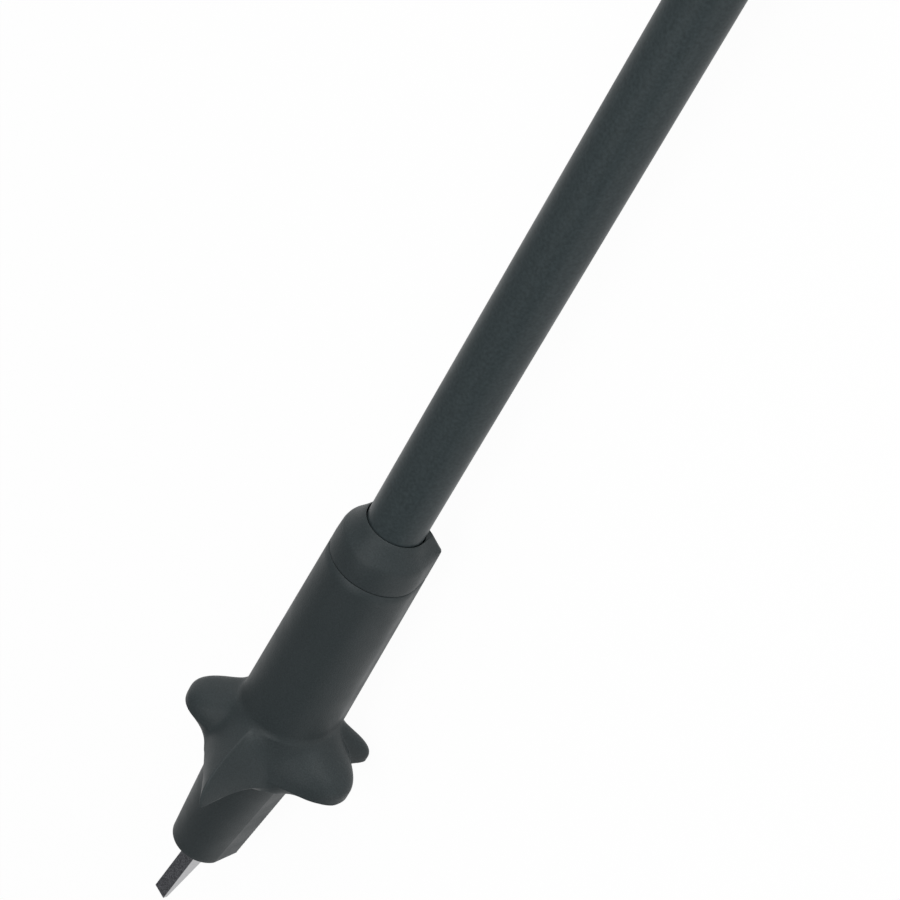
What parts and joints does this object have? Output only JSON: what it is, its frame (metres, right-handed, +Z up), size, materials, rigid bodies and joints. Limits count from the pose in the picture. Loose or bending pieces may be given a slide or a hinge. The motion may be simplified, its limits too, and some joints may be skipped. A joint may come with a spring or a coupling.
{
  "type": "oscilloscope probe",
  "caption": "Slim passive probe: round barrel from a handle to a sprung hook sleeve with a star-shaped finger guard, tapered nose and wedge hook.",
  "frame": {"origin": "on the barrel's axis at the handle's front face, where the barrel leaves the handle", "axes": "+X along the probe towards the hook, +Z up with the probe lying on a table on two star lobes and its handle"},
  "size_m": [0.1718, 0.0156, 0.0168],
  "materials": {
    "black_plastic": "fine spark-eroded texture, slightly green charcoal",
    "grip_rubber": "matte, soft touch",
    "core_plastic": "smooth moulded",
    "steel": "drawn, satin",
    "hook_steel": "blasted faces, bright ground edges",
    "brass": "turned",
    "gold": "gold flashed",
    "ptfe": "waxy white",
    "resistor_body": "lacquered",
    "board": "solder mask",
    "chip_black": "moulded",
    "chip_tan": "fired"
  },
  "bodies": {
    "probe": {"barrel_tube": "black_plastic", "ground_tube": "steel", "tip_insulator": "ptfe", "tip_pin": "gold", "tip_resistor": "resistor_body", "inner_conductor": "brass", "spacer_beads": "ptfe", "barrel_collar": "steel", "handle_top": "black_plastic", "handle_bottom": "black_plastic", "finger_guard": "grip_rubber", "circuit_board": "board", "chip_resistors": "chip_black", "chip_capacitors": "chip_tan", "trimmer_body": "ptfe", "switch_frame": "steel", "crimp_ferrule": "brass", "cable_gland": "grip_rubber"},
    "trimmer": {"trimmer_screw": "brass"},
    "switch": {"switch_slider": "chip_black", "switch_button": "grip_rubber"},
    "adapter": {"hook_core": "core_plastic", "grip_clip": "gold", "contact_socket": "gold", "hook_blade": "hook_steel", "hook_spring": "steel"},
    "sleeve": {"sleeve_body": "black_plastic", "sleeve_cap": "black_plastic"}
  },
  "joints": [
    {"name": "adapter_turn", "type": "hinge", "parent": "probe", "child": "adapter", "pos_m": [0.07, 0, 0], "axis": [1, 0, 0], "continuous": true},
    {"name": "sleeve_retract", "type": "slide", "parent": "adapter", "child": "sleeve", "axis": [-1, 0, 0], "range_m": [0, 0.005], "stiffness_N_per_m": 300, "springref_m": -0.005, "deforming": ["hook_spring"]},
    {"name": "switch_slide", "type": "slide", "parent": "probe", "child": "switch", "axis": [1, 0, 0], "range_m": [0, 0.003]},
    {"name": "trimmer_turn", "type": "hinge", "parent": "probe", "child": "trimmer", "pos_m": [-0.03575, 0, 0.001], "axis": [0, 0, 1], "continuous": true}
  ]
}
